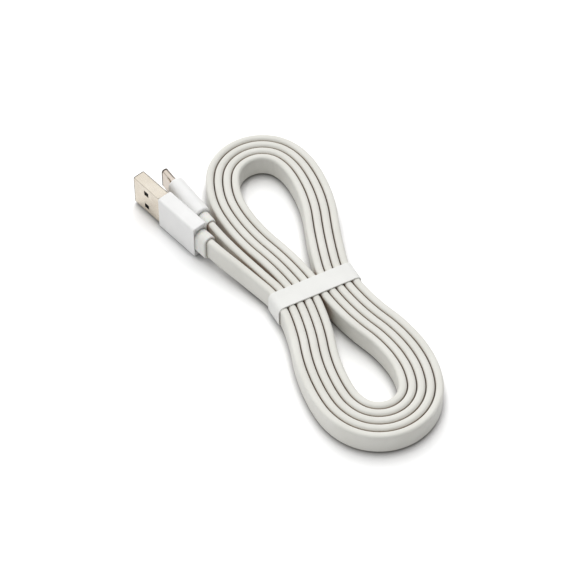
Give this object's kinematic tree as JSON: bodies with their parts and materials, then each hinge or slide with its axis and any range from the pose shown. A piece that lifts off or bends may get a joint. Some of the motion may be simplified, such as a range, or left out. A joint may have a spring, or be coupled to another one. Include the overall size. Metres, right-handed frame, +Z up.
{
  "type": "charging cable",
  "caption": "Flat charging cable wound on edge into a pinched hank under a slim band, with a wide flat plug on one end and a slim round-ended plug on the other",
  "frame": {"origin": "on the surface that the cable rests on, under the middle of the band round its waist", "axes": "+Y along the hank towards the lobe with the plugs beside it, +X across the strands away from the plugs, +Z up"},
  "size_m": [0.0574, 0.1298, 0.0132],
  "materials": {
    "cable_jacket": "smooth satin, soft to the touch",
    "band": "matt",
    "plug_case": "fine satin",
    "contact_gold": "gold plated",
    "mould": "plain",
    "shell_steel": "nickel plated, bright",
    "strain_relief": "satin",
    "insulator_black": "plain",
    "wire_black": "smooth",
    "wire_green": "smooth",
    "wire_red": "smooth",
    "wire_white": "smooth",
    "circuit_board": "solder resist",
    "spring_steel": "plain",
    "resistor_body": "plain"
  },
  "bodies": {
    "root": {"cable_hank": "cable_jacket", "cable_tail_a": "cable_jacket", "cable_tail_c": "cable_jacket"},
    "band": {"tie_band": "band"},
    "plug_a": {"type_a_cable_end": "cable_jacket", "type_a_case": "plug_case", "type_a_contact_data_minus": "contact_gold", "type_a_contact_data_plus": "contact_gold", "type_a_contact_ground": "contact_gold", "type_a_contact_power": "contact_gold", "type_a_inner_mould": "mould", "type_a_shell": "shell_steel", "type_a_strain_relief": "strain_relief", "type_a_tongue": "insulator_black", "type_a_wire_black": "wire_black", "type_a_wire_green": "wire_green", "type_a_wire_red": "wire_red", "type_a_wire_white": "wire_white"},
    "plug_c": {"type_c_cable_end": "cable_jacket", "type_c_case": "plug_case", "type_c_circuit_card": "circuit_board", "type_c_contacts_back": "contact_gold", "type_c_contacts_front": "contact_gold", "type_c_inner_mould": "mould", "type_c_insert": "insulator_black", "type_c_latch_lower": "spring_steel", "type_c_latch_upper": "spring_steel", "type_c_resistor": "resistor_body", "type_c_shell": "shell_steel", "type_c_strain_relief": "strain_relief", "type_c_wire_black": "wire_black", "type_c_wire_green": "wire_green", "type_c_wire_red": "wire_red", "type_c_wire_white": "wire_white"}
  },
  "joints": [
    {"name": "band_slide", "type": "slide", "parent": "root", "child": "band", "axis": [0, 1, 0], "range_m": [-0.0012, 0.0012]},
    {"name": "plug_a_swing", "type": "hinge", "parent": "root", "child": "plug_a", "pos_m": [-0.02155, 0.03082, 0.0066], "axis": [0, 0, 1], "range_deg": [0, 35], "deforming": ["cable_tail_a"]},
    {"name": "plug_c_swing", "type": "hinge", "parent": "root", "child": "plug_c", "pos_m": [-0.01758, 0.03793, 0.00565], "axis": [0, 0, 1], "range_deg": [-8, 0], "deforming": ["cable_tail_c"]}
  ]
}
